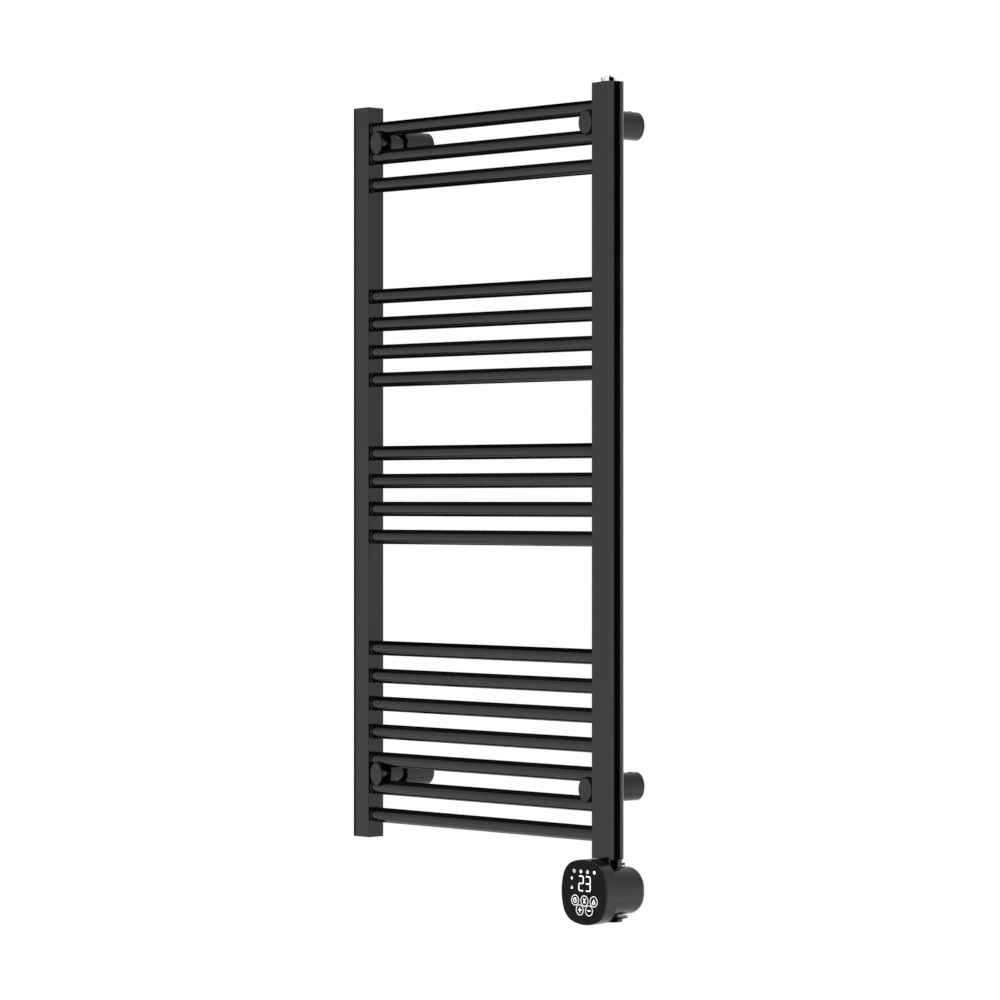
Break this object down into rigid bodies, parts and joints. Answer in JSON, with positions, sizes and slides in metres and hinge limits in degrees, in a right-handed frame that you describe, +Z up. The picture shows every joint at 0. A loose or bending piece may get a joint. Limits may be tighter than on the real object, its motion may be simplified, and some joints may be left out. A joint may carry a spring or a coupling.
{
  "type": "towel warmer rack",
  "caption": "Wall-mounted electric towel rail: two upright posts, grouped round cross bars, four wall brackets, an air vent and a touch control head.",
  "frame": {"origin": "on the wall plane, in the middle of the four wall fixing holes", "axes": "+X along the bars towards the post with the control head, +Y out of the back into the wall, +Z up"},
  "size_m": [0.5893, 0.1395, 1.2026],
  "materials": {
    "black_coat": "smooth semi-gloss black powder coat",
    "zinc_steel": "bright zinc",
    "black_steel": "blackened steel",
    "vent_chrome": "polished",
    "seal_rubber": "matte",
    "fitting_brass": "machined",
    "sheath_steel": "drawn",
    "element_core": "pressed oxide",
    "head_plastic": "satin black",
    "panel_gloss": "gloss black",
    "circuit_board": "green solder mask",
    "display_block": "cast display block",
    "relay_case": "moulded",
    "terminal_plastic": "moulded grey"
  },
  "bodies": {
    "wall_mounts": {"wall_sleeve_top_left": "black_coat", "wall_sleeve_top_right": "black_coat", "wall_sleeve_bottom_left": "black_coat", "wall_sleeve_bottom_right": "black_coat", "wall_plates": "zinc_steel", "grub_screws": "black_steel"},
    "rail": {"bar_01": "black_coat", "bar_02": "black_coat", "bar_03": "black_coat", "bar_04": "black_coat", "bar_05": "black_coat", "bar_06": "black_coat", "bar_07": "black_coat", "bar_08": "black_coat", "bar_09": "black_coat", "bar_10": "black_coat", "bar_11": "black_coat", "bar_12": "black_coat", "bar_13": "black_coat", "bar_14": "black_coat", "bar_15": "black_coat", "bar_16": "black_coat", "bar_17": "black_coat", "bar_18": "black_coat", "clamp_bolts": "zinc_steel", "clamp_cap_bottom_left": "black_coat", "clamp_cap_bottom_right": "black_coat", "clamp_cap_top_left": "black_coat", "clamp_cap_top_right": "black_coat", "element_core": "element_core", "element_fitting": "fitting_brass", "element_gasket": "seal_rubber", "element_sheath": "sheath_steel", "left_end_plates": "black_coat", "post_left": "black_coat", "post_right": "black_coat", "right_bottom_plate": "black_coat", "right_top_plate": "black_coat", "saddle_bottom_left": "black_coat", "saddle_bottom_right": "black_coat", "saddle_top_left": "black_coat", "saddle_top_right": "black_coat", "vent_body": "vent_chrome", "vent_seal": "seal_rubber"},
    "head": {"front_frame": "head_plastic", "touch_panel": "panel_gloss", "rear_housing": "head_plastic", "display_board": "circuit_board", "display_module": "display_block", "key_springs": "zinc_steel", "power_board": "circuit_board", "board_screws": "zinc_steel", "relay": "relay_case", "terminal_block": "terminal_plastic", "room_sensor": "relay_case", "swivel_collar": "black_coat", "lock_screw": "black_steel", "cable_outlet": "head_plastic", "outlet_nut": "terminal_plastic"},
    "bleed_screw": {"vent_screw": "vent_chrome"}
  },
  "joints": [
    {"name": "wall_distance", "type": "slide", "parent": "wall_mounts", "child": "rail", "axis": [0, -1, 0], "range_m": [-0.003, 0.012]},
    {"name": "head_swivel", "type": "hinge", "parent": "rail", "child": "head", "pos_m": [0.26, -0.09, -0.617], "axis": [0, 0, 1], "range_deg": [-90, 90]},
    {"name": "bleed_turn", "type": "hinge", "parent": "rail", "child": "bleed_screw", "pos_m": [0.26, -0.09, 0.5302], "axis": [0, 0, 1], "range_deg": [0, 360]}
  ]
}
